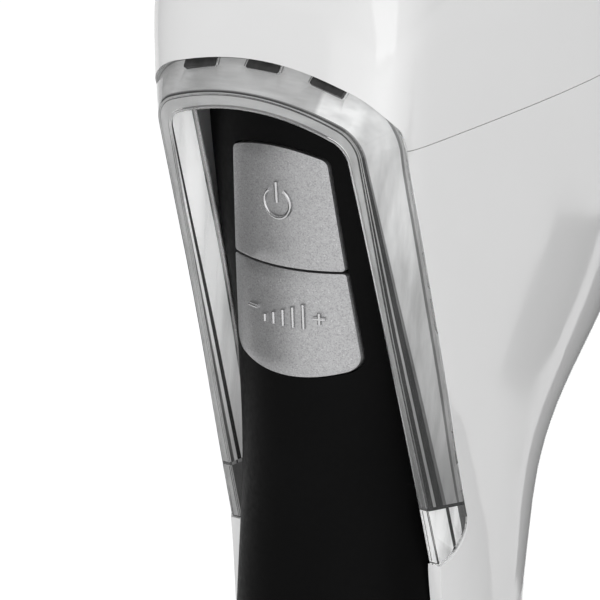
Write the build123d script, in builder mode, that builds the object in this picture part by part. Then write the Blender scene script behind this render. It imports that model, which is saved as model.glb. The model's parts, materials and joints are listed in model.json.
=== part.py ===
# Cordless immersion blender, in millimetres.
# Origin: centre of the bell's rim, on the drive axis. +Z up, keys on the -Y side, +X to the user's left.
from build123d import *
from math import acos, atan2, copysign, cos, degrees, pi, radians, sin, sqrt
import os

os.makedirs("parts", exist_ok=True)

# ---------------------------------------------------------------- driving dimensions
key_level = 355.5          # height of the line between the two keys' mid heights
handle_bottom = 200.0      # lowest edge of the handle, where the blending arm joins
parting = key_level + 34.5  # seam between the upper cover and the lower housing
wall = 2.4                 # wall of the white shells
seam = 0.15                # gap between shells at a seam
frame_slope = 0.288        # the clear frame leans back by this much for each mm downwards
tube_radius = 12.5         # blending arm's steel tube
bell_radius = 34.0         # bell rim
bell_height = 46.0         # rim to the bell's top
shaft_radius = 2.5         # motor shaft
spindle_radius = 3.0       # blade spindle inside the arm
running_gap = 0.03         # radial clearance of a shaft in its bearing
motor_radius = 17.5
motor_low = 234.0
motor_high = 290.0
cell_radius = 9.2          # battery cell, 18650 size
cell_length = 65.0
key_gap = 0.35             # gap round each key
key_proud = 0.5            # keys stand this far in front of the grip

# Body rows: height above key_level, half width, front y, back y, y of the widest line, front and
# back corner exponents (2 is an ellipse, larger is squarer).
body_rows = [
    (-155.5, 28.0, -28.0, 28.0, 0.0, 2.0, 2.0),
    (-125.0, 28.4, -28.4, 28.4, 0.0, 2.0, 2.0),
    (-95.0, 27.7, -27.7, 27.4, 0.0, 2.0, 2.0),
    (-75.0, 27.6, -27.7, 27.0, 0.0, 2.0, 2.0),
    (-62.0, 27.8, -27.8, 28.0, 0.0, 2.0, 2.0),
    (-50.0, 27.9, -28.2, 31.5, 0.0, 2.1, 2.0),
    (-40.0, 28.0, -28.6, 36.5, -1.0, 2.3, 2.0),
    (-30.0, 28.0, -29.2, 45.5, -2.0, 2.7, 2.05),
    (-21.0, 28.1, -30.0, 57.0, -4.0, 3.3, 2.15),
    (-10.0, 28.2, -31.0, 66.5, -7.0, 4.0, 2.4),
    (6.0, 28.3, -33.6, 72.5, -10.0, 5.0, 2.7),
    (24.0, 28.5, -37.0, 75.0, -12.0, 6.0, 2.8),
    (40.0, 29.1, -37.6, 75.2, -12.0, 6.3, 2.8),
    (54.0, 29.9, -36.8, 73.2, -11.0, 6.2, 2.8),
]
row_step = 9.5             # spacing of the sections that the body is lofted through
dome_height = 28.0         # from the last row to the top of the head
dome_exponent = 2.4
dome_centre = 18.0         # y about which the head closes
dome_steps = (0.32, 0.58, 0.78, 0.91, 0.98)


def dome_rows(base, height, exponent, steps):
    """Rows that close the head over its last straight row."""
    low, half_width, front, back, widest, n_front, n_back = base
    rows = []
    for step in steps:
        scale = (1 - step ** exponent) ** (1 / exponent)
        rows.append((
            low + height * step,
            half_width * scale,
            dome_centre + (front - dome_centre) * scale,
            dome_centre + (back - dome_centre) * scale,
            dome_centre + (widest - dome_centre) * scale,
            n_front + (2.6 - n_front) * step,
            n_back,
        ))
    return rows


def row_at(rows, height):
    """One row at any height, by cubic interpolation between the listed rows."""
    index = 1
    while index < len(rows) - 1 and rows[index][0] < height:
        index += 1
    low, high = rows[index - 1], rows[index]
    before, after = rows[max(index - 2, 0)], rows[min(index + 1, len(rows) - 1)]
    span = high[0] - low[0]
    t = (height - low[0]) / span
    values = [height]
    for column in range(1, len(low)):
        slope_low = (high[column] - before[column]) / (high[0] - before[0]) * span
        slope_high = (after[column] - low[column]) / (after[0] - low[0]) * span
        values.append(
            low[column] * (2 * t ** 3 - 3 * t ** 2 + 1)
            + slope_low * (t ** 3 - 2 * t ** 2 + t)
            + high[column] * (3 * t ** 2 - 2 * t ** 3)
            + slope_high * (t ** 3 - t ** 2)
        )
    return tuple(values)


def even_rows(rows, step):
    """Rows at even heights, so that a loft through them keeps a steady pace."""
    low = rows[0][0]
    count = round((rows[-1][0] - low) / step)
    return [row_at(rows, low + (rows[-1][0] - low) * index / count) for index in range(count + 1)]


def inset_rows(rows, depth):
    """The same rows moved inwards by a wall that keeps its thickness where the back flares."""
    inner = []
    for index, row in enumerate(rows):
        below = rows[max(index - 1, 0)]
        above = rows[min(index + 1, len(rows) - 1)]
        slope = (above[3] - below[3]) / (above[0] - below[0])
        height, half_width, front, back, widest, n_front, n_back = row
        inner.append((
            height,
            half_width - depth,
            front + depth,
            back - depth * sqrt(1 + slope * slope),
            widest,
            n_front,
            n_back,
        ))
    return inner


def oval_points(row, count=40):
    """Points of a closed outline made of two superellipse halves that meet at the widest line."""
    height, half_width, front, back, widest, n_front, n_back = row
    points = []
    for index in range(count):
        angle = 2 * pi * index / count - pi / 2
        across = cos(angle)
        along = sin(angle)
        exponent = n_back if along > 0 else n_front
        reach = back - widest if along > 0 else widest - front
        radius = (abs(across) ** exponent + abs(along) ** exponent) ** (-1 / exponent)
        points.append((half_width * across * radius, widest + reach * along * radius))
    return points


straight_rows = even_rows(body_rows, row_step)
outer_rows = straight_rows + dome_rows(straight_rows[-1], dome_height, dome_exponent, dome_steps)
inner_body = inset_rows(straight_rows, wall)
inner_rows = inner_body + dome_rows(inner_body[-1], dome_height - wall, dome_exponent, dome_steps)

with BuildPart() as hull:
    for row in outer_rows:
        with BuildSketch(Plane.XY.offset(key_level + row[0])):
            with BuildLine():
                Spline(*oval_points(row), periodic=True)
            make_face()
    loft()

with BuildPart() as hollow:
    for row in inner_rows:
        with BuildSketch(Plane.XY.offset(key_level + row[0])):
            with BuildLine():
                Spline(*oval_points(row), periodic=True)
            make_face()
    loft()


# ---------------------------------------------------------------- clear frame: planes and outlines
back_plane_y = -31.3       # rear plane of the clear frame at 34.2 above key_level
back_plane_level = 34.2
rim_plane_y = -38.3        # front plane of the clear frame at 32.4 above key_level
rim_plane_level = 32.4
tip_low = -50.5            # lowest point of the frame's legs
tip_back = -41.5           # where the legs' rear edge starts to round off
lean = sqrt(1 + frame_slope ** 2)


def frame_plane(y, level):
    """Plane of the clear frame, facing forwards and a little down, with its own +Y going up."""
    return Plane(
        origin=(0, y, key_level + level),
        x_dir=(1, 0, 0),
        z_dir=(0, -1 / lean, -frame_slope / lean),
    )


back_plane = frame_plane(back_plane_y, back_plane_level)
rim_plane = frame_plane(rim_plane_y, rim_plane_level)


def y_on_back(level):
    return back_plane_y + frame_slope * (back_plane_level - level)


def y_on_rim(level):
    return rim_plane_y + frame_slope * (rim_plane_level - level)


def hull_half_width(level, y):
    """Half width of the body at a height and depth, in front of its widest line."""
    height, half_width, front, back, widest, n_front, n_back = row_at(body_rows, level)
    share = max((widest - y) / (widest - front), 0)
    return half_width * (1 - share ** n_front) ** (1 / n_front)


def arch(spring_x, apex, crown, corner):
    """Tangent corner and crown arcs of an arch: spring point, corner middle, crown start, apex."""
    rise = sqrt((crown - corner) ** 2 - (spring_x - corner) ** 2)
    centre = apex - crown
    corner_s = centre + rise
    lean_angle = atan2(rise, spring_x - corner)
    middle = lean_angle / 2
    return (
        (spring_x, corner_s),
        (spring_x - corner + corner * cos(middle), corner_s + corner * sin(middle)),
        (crown * cos(lean_angle), centre + crown * sin(lean_angle)),
        (0, apex),
    )


crown_radius = 66          # of the frame's rear outline


def mirrored(point):
    return (-point[0], point[1])


def draw_arch(shape):
    """The five tangent edges of an arch, from its right spring point to its left one."""
    spring, middle, start, apex = shape
    ThreePointArc(spring, middle, start)
    ThreePointArc(start, apex, mirrored(start))
    ThreePointArc(mirrored(start), mirrored(middle), mirrored(spring))


back_outer = arch(spring_x=28.25, apex=15.3, crown=crown_radius, corner=12)
back_inner = arch(spring_x=19.4, apex=9.9, crown=48, corner=4.5)
rim_outer = arch(spring_x=22.6, apex=10.3, crown=52, corner=6)
rim_inner = arch(spring_x=20.1, apex=7.3, crown=48, corner=4.5)

# Legs of the four outlines, downwards: height above key_level and half width.
back_outer_leg = [
    (level, hull_half_width(level, y_on_back(level)) - 0.1)
    for level in (30, 20, 8, -4, -16, -28, -40, -52)
]
back_inner_leg = [(20, 19.4), (0, 19.6), (-15, 20.3), (-30, 21.2), (-52, 21.6)]
rim_outer_leg = [(17, 22.6), (-5, 22.7), (-25, 23.3), (tip_low, 24.0)]
rim_inner_leg = [(17, 20.7), (-2, 21.2), (-25, 21.7), (tip_low, 22.0)]


def leg_points(leg, level):
    """Leg points in the frame plane whose origin is at the given level."""
    return [(x, (height - level) * lean) for height, x in leg]


def draw_frame_face(outer, inner, outer_leg, inner_leg):
    """Closed outline of the clear frame in one of its planes."""
    outer_down = leg_points(*outer_leg)
    inner_down = leg_points(*inner_leg)
    draw_arch(outer)
    Spline(mirrored(outer[0]), *[mirrored(p) for p in outer_down])
    Line(mirrored(outer_down[-1]), mirrored(inner_down[-1]))
    Spline(mirrored(inner[0]), *[mirrored(p) for p in inner_down])
    draw_arch(inner)
    Spline(inner[0], *inner_down)
    Line(inner_down[-1], outer_down[-1])
    Spline(outer[0], *outer_down)


with BuildPart() as tip_cut:
    with BuildSketch(Plane.YZ):
        with BuildLine():
            tip_start = (y_on_back(tip_back), key_level + tip_back)
            tip_end = (y_on_rim(tip_low), key_level + tip_low)
            tip_side = (y_on_back(tip_back) - 1.2, key_level + tip_back - 5.6)
            ThreePointArc(tip_start, tip_side, tip_end)
            Polyline(
                tip_end,
                (tip_end[0], tip_end[1] - 12),
                (tip_start[0] + 12, tip_end[1] - 12),
                (tip_start[0] + 12, tip_start[1]),
                tip_start,
            )
        make_face()
    extrude(amount=60, both=True)

# ---------------------------------------------------------------- clear light frame
window_x = 14.4            # the outer windows stand this far to the sides
window_size = (7.3, 1.9)
window_depth = 0.8
window_corner = 0.4
window_gap = 0.1           # between a window and its pocket, across both
window_back_share = 0.23   # place between the frame's rear edge and its rim
back_apex = back_plane_level + back_outer[-1][1] / lean
rim_apex = rim_plane_level + rim_outer[-1][1] / lean
crown_turn = degrees(window_x / crown_radius)


def window_plane(side):
    """Plane of one window on the slanted top of the frame; side is -1, 0 or 1."""
    drop = side * side * window_x ** 2 / (2 * crown_radius * lean)
    back = (y_on_back(back_apex), back_apex - drop)
    rim = (y_on_rim(rim_apex), rim_apex - drop)
    y = back[0] + (rim[0] - back[0]) * window_back_share
    level = back[1] + (rim[1] - back[1]) * window_back_share
    length = sqrt((rim[0] - back[0]) ** 2 + (rim[1] - back[1]) ** 2)
    normal = Vector(0, (rim[1] - back[1]) / length, -(rim[0] - back[0]) / length)
    turn = -side * crown_turn
    x_dir = Vector(1, 0, 0).rotate(Axis.Y, -turn)
    return Plane(
        origin=(side * window_x, y, key_level + level),
        x_dir=x_dir,
        z_dir=normal.rotate(Axis.Y, -turn),
    )


with BuildPart() as window_pockets:
    for side in (-1, 0, 1):
        with BuildSketch(window_plane(side)):
            RectangleRounded(window_size[0] + window_gap, window_size[1] + window_gap, window_corner)
        extrude(amount=3)
        with BuildSketch(window_plane(side)):
            RectangleRounded(window_size[0] + window_gap, window_size[1] + window_gap, window_corner)
        extrude(amount=-window_depth - window_gap / 2)

with BuildPart() as light_frame:
    with BuildSketch(back_plane):
        with BuildLine():
            draw_frame_face(
                back_outer,
                back_inner,
                (back_outer_leg, back_plane_level),
                (back_inner_leg, back_plane_level),
            )
        make_face()
    with BuildSketch(rim_plane):
        with BuildLine():
            draw_frame_face(
                rim_outer,
                rim_inner,
                (rim_outer_leg, rim_plane_level),
                (rim_inner_leg, rim_plane_level),
            )
        make_face()
    loft(ruled=True)
    add(tip_cut.part, mode=Mode.SUBTRACT)
    add(window_pockets.part, mode=Mode.SUBTRACT)
light_frame.part.label = "light_frame"
export_step(light_frame.part, "parts/light_frame.step")

for side, name in ((-1, "right"), (0, "middle"), (1, "left")):
    with BuildPart() as level_window:
        with BuildSketch(window_plane(side)):
            RectangleRounded(window_size[0], window_size[1], window_corner)
        extrude(amount=-window_depth)
    level_window.part.label = f"level_window_{name}"
    export_step(level_window.part, f"parts/level_window_{name}.step")


# ---------------------------------------------------------------- white shells
front_edge = [(-12.9, -64), (-10.2, -85), (-7.6, -118), (-6.6, -156.5)]
release_level = 217.0      # mid height of the release buttons
release_size = (13.0, 17.0)
inlet_level = key_level + 12
inlet_radius = 5.5
inlet_bore = 3.2
inlet_front = 68.5
inlet_face = 74.4

with BuildPart() as front_cut:
    with BuildSketch(Plane.YZ):
        with BuildLine():
            ThreePointArc(tip_start, tip_side, tip_end)
            Spline(tip_end, *[(y, key_level + level) for y, level in front_edge])
            Polyline(
                (front_edge[-1][0], key_level + front_edge[-1][1]),
                (-60, key_level - 156.5),
                (-60, parting + 1),
                (y_on_back(35.5), parting + 1),
                tip_start,
            )
        make_face()
    extrude(amount=60, both=True)

with BuildPart() as release_holes:
    with BuildSketch(Plane.YZ.offset(-40)):
        with Locations((0, release_level)):
            RectangleRounded(release_size[0], release_size[1], 5)
    extrude(amount=80)

with BuildPart() as neck_housing:
    add(hull.part)
    add(hollow.part, mode=Mode.SUBTRACT)
    split(bisect_by=Plane.XY.offset(parting - seam / 2), keep=Keep.BOTTOM)
    add(front_cut.part, mode=Mode.SUBTRACT)
    add(release_holes.part, mode=Mode.SUBTRACT)
    with BuildSketch(Plane.XZ.offset(-60)):
        with Locations((0, inlet_level)):
            Circle(inlet_radius + 0.05)
    extrude(amount=-30, mode=Mode.SUBTRACT)
neck_housing.part.label = "neck_housing"
export_step(neck_housing.part, "parts/neck_housing.step")

with BuildPart() as arch_cut:
    with BuildSketch(back_plane):
        with BuildLine():
            draw_arch(back_outer)
            right = back_outer[0]
            low = 0.6
            Polyline(right, (right[0], low), (45, low), (45, -9), (-45, -9), (-45, low),
                     (-right[0], low), mirrored(right))
        make_face()
    extrude(amount=30)

with BuildPart() as head_cover:
    add(hull.part)
    add(hollow.part, mode=Mode.SUBTRACT)
    split(bisect_by=Plane.XY.offset(parting + seam / 2), keep=Keep.TOP)
    add(arch_cut.part, mode=Mode.SUBTRACT)
head_cover.part.label = "head_cover"
export_step(head_cover.part, "parts/head_cover.step")

# Reflector plate behind the clear frame, inside the shells.
with BuildPart() as frame_reflector:
    with BuildSketch(back_plane):
        with BuildLine():
            outer_down = leg_points([(20, 25.0), (0, 25.0), (-18, 24.6), (-34, 24.4)], back_plane_level)
            inner_down = leg_points([(20, 19.9), (0, 20.1), (-18, 20.8), (-34, 21.6)], back_plane_level)
            reflector_outer = arch(spring_x=25.0, apex=12.2, crown=crown_radius, corner=9)
            reflector_inner = arch(spring_x=19.9, apex=10.3, crown=48, corner=4.5)
            draw_arch(reflector_outer)
            Spline(mirrored(reflector_outer[0]), *[mirrored(p) for p in outer_down])
            Line(mirrored(outer_down[-1]), mirrored(inner_down[-1]))
            Spline(mirrored(reflector_inner[0]), *[mirrored(p) for p in inner_down])
            draw_arch(reflector_inner)
            Spline(reflector_inner[0], *inner_down)
            Line(inner_down[-1], outer_down[-1])
            Spline(reflector_outer[0], *outer_down)
        make_face()
    extrude(amount=-1.0)
    add(hollow.part, mode=Mode.INTERSECT)
frame_reflector.part.label = "frame_reflector"
export_step(frame_reflector.part, "parts/frame_reflector.step")

# ---------------------------------------------------------------- soft front grip
# Rows: height above key_level, front y, half width and depth of the superellipse, exponent, side cut.
grip_rows = [
    (-155.4, -27.9, 24.6, 20.5, 2.3, 24.3),
    (-120.0, -28.2, 24.4, 20.3, 2.3, 24.1),
    (-90.0, -27.8, 23.4, 19.5, 2.3, 23.1),
    (-64.0, -27.8, 21.9, 18.8, 2.3, 21.6),
    (-50.0, -28.0, 21.5, 19.8, 2.2, 21.2),
    (-40.0, -28.3, 21.4, 20.8, 2.1, 21.0),
    (-30.0, -28.8, 21.3, 21.3, 2.05, 20.7),
    (-10.0, -29.8, 22.6, 22.6, 2.0, 19.8),
    (-2.0, -30.3, 24.3, 24.3, 2.0, 19.4),
    (8.0, -30.9, 28.0, 28.0, 2.0, 19.25),
    (17.0, -31.7, 31.0, 31.0, 2.0, 19.15),
    (30.0, -33.0, 34.0, 34.0, 2.0, 19.1),
    (46.0, -34.4, 36.0, 36.0, 2.0, 19.0),
]
grip_wall = 2.4
grip_side = 5.0            # how far the grip's sides run back from its face


def grip_face_points(row, proud, count=6):
    """Front edge of the grip's section from right to left, moved forwards by proud."""
    height, front, half_width, depth, exponent, side = row
    front, half_width, depth = front - proud, half_width + proud, depth + proud
    limit = acos((1 - (side / half_width) ** exponent) ** (1 / 2))
    points = []
    for index in range(-count, count + 1):
        share = sin(limit * index / count)
        x = half_width * copysign(abs(share) ** (2 / exponent), share)
        y = front + depth * (1 - (1 - abs(x / half_width) ** exponent) ** (1 / exponent))
        points.append((x, y))
    return points


def thinner(row, depth):
    """The grip's row moved back by a wall."""
    height, front, half_width, reach, exponent, side = row
    return (height, front + depth, half_width - depth, reach - depth, exponent, side - depth)


def behind(face, depth):
    """Corners of a section's rear part: from the face's end, straight back, across and forwards."""
    back = face[0][1] + depth
    return [face[-1], (face[-1][0], back), (face[0][0], back), face[0]]


even_grip = even_rows(grip_rows, 10.5)
with BuildPart() as grip_body:
    for row in even_grip:
        with BuildSketch(Plane.XY.offset(key_level + row[0])):
            with BuildLine():
                face = grip_face_points(row, 0)
                Spline(*face)
                Polyline(*behind(face, grip_side))
            make_face()
    loft()

with BuildPart() as grip_hollow:
    for row in even_grip:
        with BuildSketch(Plane.XY.offset(key_level + row[0])):
            with BuildLine():
                face = grip_face_points(thinner(row, grip_wall), 0)
                Spline(*face)
                Polyline(*behind(face, grip_side + 8))
            make_face()
    loft()
    split(bisect_by=Plane.XY.offset(key_level + 37), keep=Keep.BOTTOM)

grip_top = arch(spring_x=19.3, apex=9.75, crown=48, corner=4.4)
with BuildPart() as grip_limit:
    with BuildSketch(back_plane):
        with BuildLine():
            draw_arch(grip_top)
            Polyline(grip_top[0], (19.3, -20), (60, -20), (60, -240), (-60, -240), (-60, -20),
                     (-19.3, -20), mirrored(grip_top[0]))
        make_face()
    extrude(amount=90, both=True)

# Key outlines, seen from the front.
with BuildSketch(Plane.XZ) as power_outline:
    with BuildLine():
        ThreePointArc((-12.5, key_level + 8.4), (0, key_level + 8.05), (12.5, key_level + 8.4))
        Line((12.5, key_level + 8.4), (10.65, key_level + 29.7))
        ThreePointArc((10.65, key_level + 29.7), (0, key_level + 31.5), (-10.65, key_level + 29.7))
        Line((-10.65, key_level + 29.7), (-12.5, key_level + 8.4))
    make_face()
    fillet(power_outline.vertices().group_by(Axis.Y)[-1], 1.6)
    fillet(power_outline.vertices().group_by(Axis.Y)[0], 0.6)

with BuildSketch(Plane.XZ) as select_outline:
    with BuildLine():
        ThreePointArc((-12.6, key_level + 7.9), (0, key_level + 7.55), (12.6, key_level + 7.9))
        Line((12.6, key_level + 7.9), (14.2, key_level - 10.6))
        ThreePointArc((14.2, key_level - 10.6), (0, key_level - 13.4), (-14.2, key_level - 10.6))
        Line((-14.2, key_level - 10.6), (-12.6, key_level + 7.9))
    make_face()
    fillet(select_outline.vertices().group_by(Axis.Y)[0], 3.2)
    fillet(select_outline.vertices().group_by(Axis.Y)[-1], 0.6)

with BuildPart() as key_windows:
    with BuildSketch(Plane.XZ):
        add(power_outline.sketch)
        offset(amount=key_gap)
    with BuildSketch(Plane.XZ):
        add(select_outline.sketch)
        offset(amount=key_gap)
    extrude(amount=60)

with BuildPart() as front_grip:
    add(grip_body.part)
    add(grip_hollow.part, mode=Mode.SUBTRACT)
    add(grip_limit.part, mode=Mode.INTERSECT)
    add(key_windows.part, mode=Mode.SUBTRACT)
front_grip.part.label = "front_grip"
export_step(front_grip.part, "parts/front_grip.step")

# ---------------------------------------------------------------- keys, switches and control board
stem_radius = 1.6
key_wall = 1.6
switch_face = -22.4        # front of the tact switches
board_front = -18.8
board_thickness = 1.6
board_holes = [(x, key_level + level) for x in (-12, 12) for level in (-9, 29)]
plunger_radius = 1.7
key_rows = [row for row in even_grip if -35 < row[0] < 47]

with BuildPart() as key_shell:
    for row in key_rows:
        with BuildSketch(Plane.XY.offset(key_level + row[0])):
            with BuildLine():
                face = grip_face_points(row, key_proud)
                Spline(*face)
                Polyline(*behind(face, grip_side))
            make_face()
    loft()

with BuildPart() as key_core:
    for row in key_rows:
        with BuildSketch(Plane.XY.offset(key_level + row[0])):
            with BuildLine():
                face = grip_face_points(thinner(row, key_wall), 0)
                Spline(*face)
                Polyline(*behind(face, grip_side + 8))
            make_face()
    loft()

for name, outline, stem_level, stem_tip in (
    ("power_key", power_outline, 20.0, -31.2),
    ("select_key", select_outline, -2.0, -29.6),
):
    with BuildPart() as key:
        with BuildSketch(Plane.XZ):
            add(outline.sketch)
        extrude(amount=60)
        add(key_shell.part, mode=Mode.INTERSECT)
        add(key_core.part, mode=Mode.SUBTRACT)
        with BuildSketch(Plane.XZ.offset(-switch_face + 1.6)):
            with Locations((0, key_level + stem_level)):
                Circle(stem_radius)
        extrude(amount=switch_face - 1.6 - stem_tip)
    key.part.label = name
    export_step(key.part, f"parts/{name}.step")

    with BuildPart() as plunger:
        with BuildSketch(Plane.XZ.offset(-switch_face - 0.6)):
            with Locations((0, key_level + stem_level)):
                Circle(plunger_radius)
        extrude(amount=2.2)
    plunger.part.label = name.replace("key", "switch_plunger")
    export_step(plunger.part, f"parts/{plunger.part.label}.step")

with BuildPart() as tact_switches:
    with BuildSketch(Plane.XZ.offset(-board_front)):
        with Locations((0, key_level + 20), (0, key_level - 2)):
            RectangleRounded(6.2, 6.2, 0.5)
    extrude(amount=board_front - switch_face)
    with BuildSketch(Plane.XZ.offset(-switch_face)):
        with Locations((0, key_level + 20), (0, key_level - 2)):
            Circle(plunger_radius + 0.08)
    extrude(amount=-2.4, mode=Mode.SUBTRACT)
tact_switches.part.label = "tact_switches"
export_step(tact_switches.part, "parts/tact_switches.step")

with BuildPart() as control_board:
    with BuildSketch(Plane.XZ.offset(-board_front)):
        with Locations((0, key_level + 10)):
            RectangleRounded(30, 46, 1.5)
        with Locations(*board_holes):
            Circle(1.3, mode=Mode.SUBTRACT)
    extrude(amount=-board_thickness)
control_board.part.label = "control_board"
export_step(control_board.part, "parts/control_board.step")

light_arc = 65.0           # radius of the line of the indicator lights
light_centre = -53.8

with BuildPart() as indicator_leds:
    with BuildSketch(back_plane.offset(-1.0)):
        for x in (-window_x, 0, window_x):
            with Locations((x, light_centre + sqrt(light_arc ** 2 - x ** 2))):
                Rectangle(3.2, 1.5)
    extrude(amount=-1.4)
indicator_leds.part.label = "indicator_leds"
export_step(indicator_leds.part, "parts/indicator_leds.step")

with BuildPart() as light_board:
    with BuildSketch(back_plane.offset(-2.4)):
        with Locations((0, light_centre)):
            Circle(light_arc + 0.9)
            Circle(light_arc - 0.9, mode=Mode.SUBTRACT)
        with Locations((0, 10)):
            Rectangle(38, 8, mode=Mode.INTERSECT)
    extrude(amount=-0.9)
light_board.part.label = "light_board"
export_step(light_board.part, "parts/light_board.step")

with BuildPart() as board_screws:
    with BuildSketch(Plane.XZ.offset(-board_front)):
        with Locations(*board_holes):
            Circle(2.2)
    extrude(amount=1.4)
    with BuildSketch(Plane.XZ.offset(-board_front)):
        with Locations(*board_holes):
            Circle(1.2)
    extrude(amount=-6)
board_screws.part.label = "board_screws"
export_step(board_screws.part, "parts/board_screws.step")

# ---------------------------------------------------------------- battery and charging
cell_front = -10.0
cell_low = key_level + 15.5
cell_spots = [(-9.8, cell_low), (9.8, cell_low), (0, cell_low + 17.2)]

with BuildPart() as battery_cells:
    with BuildSketch(Plane.XZ.offset(-cell_front)):
        with Locations(*cell_spots):
            Circle(cell_radius)
    extrude(amount=-cell_length)
    chamfer(battery_cells.edges().filter_by(GeomType.CIRCLE), 0.6)
battery_cells.part.label = "battery_cells"
export_step(battery_cells.part, "parts/battery_cells.step")

with BuildPart() as cell_links:
    for plane_y, depth in ((cell_front, 0.4), (cell_front + cell_length + 0.4, 0.4)):
        with BuildSketch(Plane.XZ.offset(-plane_y)):
            with Locations((0, cell_low)):
                Rectangle(26, 6)
            with Locations((0, cell_low + 9)):
                Rectangle(6, 23)
        extrude(amount=depth)
cell_links.part.label = "cell_links"
export_step(cell_links.part, "parts/cell_links.step")

with BuildPart() as battery_cradle:
    with BuildSketch(Plane.XZ.offset(-cell_front + 1)):
        with Locations((0, cell_low - 5.5)):
            Rectangle(38, 12)
        with Locations(*cell_spots[:2]):
            Circle(cell_radius + 0.1, mode=Mode.SUBTRACT)
        with Locations((0, cell_low - 2)):
            Rectangle(39, 12, mode=Mode.SUBTRACT)
    extrude(amount=-48)
    add(hollow.part, mode=Mode.INTERSECT)
battery_cradle.part.label = "battery_cradle"
export_step(battery_cradle.part, "parts/battery_cradle.step")

with BuildPart() as charge_board:
    with BuildSketch(Plane.XY.offset(cell_low + 17.2 + cell_radius + 2)):
        with Locations((0, 18)):
            RectangleRounded(36, 58, 2)
    extrude(amount=1.6)
charge_board.part.label = "charge_board"
export_step(charge_board.part, "parts/charge_board.step")

with BuildPart() as inlet_bezel:
    with BuildSketch(Plane.XZ.offset(-inlet_front)):
        with Locations((0, inlet_level)):
            Circle(inlet_radius)
            Circle(inlet_bore, mode=Mode.SUBTRACT)
    extrude(amount=-(inlet_face - inlet_front))
inlet_bezel.part.label = "inlet_bezel"
export_step(inlet_bezel.part, "parts/inlet_bezel.step")

with BuildPart() as charge_jack:
    with BuildSketch(Plane.XZ.offset(-(inlet_front - 9))):
        with Locations((0, inlet_level)):
            Rectangle(9, 9)
    extrude(amount=-8.9)
    with BuildSketch(Plane.XZ.offset(-(inlet_front - 0.1))):
        with Locations((0, inlet_level)):
            Circle(2.9)
            Circle(1.0, mode=Mode.SUBTRACT)
    extrude(amount=7, mode=Mode.SUBTRACT)
charge_jack.part.label = "charge_jack"
export_step(charge_jack.part, "parts/charge_jack.step")

# ---------------------------------------------------------------- motor
can_wall = 1.2
cap_low = motor_high - 4
bearing_radius = 5.5
bearing_height = 4.0

with BuildPart() as motor_can:
    with BuildSketch(Plane.XY.offset(motor_low)):
        Circle(motor_radius)
    extrude(amount=cap_low - motor_low)
    with BuildSketch(Plane.XY.offset(motor_low + can_wall)):
        Circle(motor_radius - can_wall)
    extrude(amount=cap_low - motor_low, mode=Mode.SUBTRACT)
    with BuildSketch(Plane.XY.offset(motor_low - 3)):
        Circle(bearing_radius + 1.2)
    extrude(amount=3)
    with BuildSketch(Plane.XY.offset(motor_low - 3)):
        Circle(bearing_radius)
    extrude(amount=3 + can_wall, mode=Mode.SUBTRACT)
motor_can.part.label = "motor_can"
export_step(motor_can.part, "parts/motor_can.step")

with BuildPart() as motor_end_cap:
    with BuildSketch(Plane.XY.offset(cap_low)):
        Circle(motor_radius)
        Circle(bearing_radius, mode=Mode.SUBTRACT)
    extrude(amount=motor_high - cap_low)
motor_end_cap.part.label = "motor_end_cap"
export_step(motor_end_cap.part, "parts/motor_end_cap.step")

for name, low in (("motor_bearing_low", motor_low - 3), ("motor_bearing_high", cap_low)):
    with BuildPart() as bearing:
        with BuildSketch(Plane.XY.offset(low)):
            Circle(bearing_radius)
            Circle(shaft_radius + running_gap, mode=Mode.SUBTRACT)
        extrude(amount=bearing_height)
    bearing.part.label = name
    export_step(bearing.part, f"parts/{name}.step")

magnet_bore = 13.2
magnet_height = 30.0
magnet_gap = 9.0           # open strip between the two magnets
with BuildPart() as motor_magnets:
    with BuildSketch(Plane.XY.offset(motor_low + 8)):
        Circle(motor_radius - can_wall)
        Circle(magnet_bore, mode=Mode.SUBTRACT)
        Rectangle(60, magnet_gap, mode=Mode.SUBTRACT)
    extrude(amount=magnet_height)
motor_magnets.part.label = "motor_magnets"
export_step(motor_magnets.part, "parts/motor_magnets.step")

coupling_low = 203.0       # mouth of the motor coupling's hexagon socket
coupling_floor = 211.0     # end of the socket and lower end of the motor shaft
coupling_high = 216.0
with BuildPart() as motor_shaft:
    with BuildSketch(Plane.XY.offset(coupling_floor)):
        Circle(shaft_radius)
    extrude(amount=motor_high - coupling_floor)
motor_shaft.part.label = "motor_shaft"
export_step(motor_shaft.part, "parts/motor_shaft.step")

rotor_radius = 12.4
rotor_low = motor_low + 10
rotor_height = 26.0
rotor_slots = 5
slot_spot = 10.2           # radius of the slots' middles
slot_size = (3.4, 5.0)
slot_mouth = (2.0, 1.2)
with BuildPart() as rotor_core:
    with BuildSketch(Plane.XY.offset(rotor_low)):
        Circle(rotor_radius)
        Circle(shaft_radius, mode=Mode.SUBTRACT)
        with PolarLocations(slot_spot, rotor_slots):
            Rectangle(slot_size[0], slot_size[1], mode=Mode.SUBTRACT)
        with PolarLocations(slot_spot + 2, rotor_slots):
            Rectangle(slot_mouth[0], slot_mouth[1], mode=Mode.SUBTRACT)
    extrude(amount=rotor_height)
rotor_core.part.label = "rotor_core"
export_step(rotor_core.part, "parts/rotor_core.step")

winding_height = 3.5
winding_radius = 10.8
winding_bore = 5.4
with BuildPart() as rotor_windings:
    for low in (rotor_low - winding_height, rotor_low + rotor_height):
        with BuildSketch(Plane.XY.offset(low)):
            Circle(winding_radius)
            Circle(winding_bore, mode=Mode.SUBTRACT)
        extrude(amount=winding_height)
rotor_windings.part.label = "rotor_windings"
export_step(rotor_windings.part, "parts/rotor_windings.step")

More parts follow.
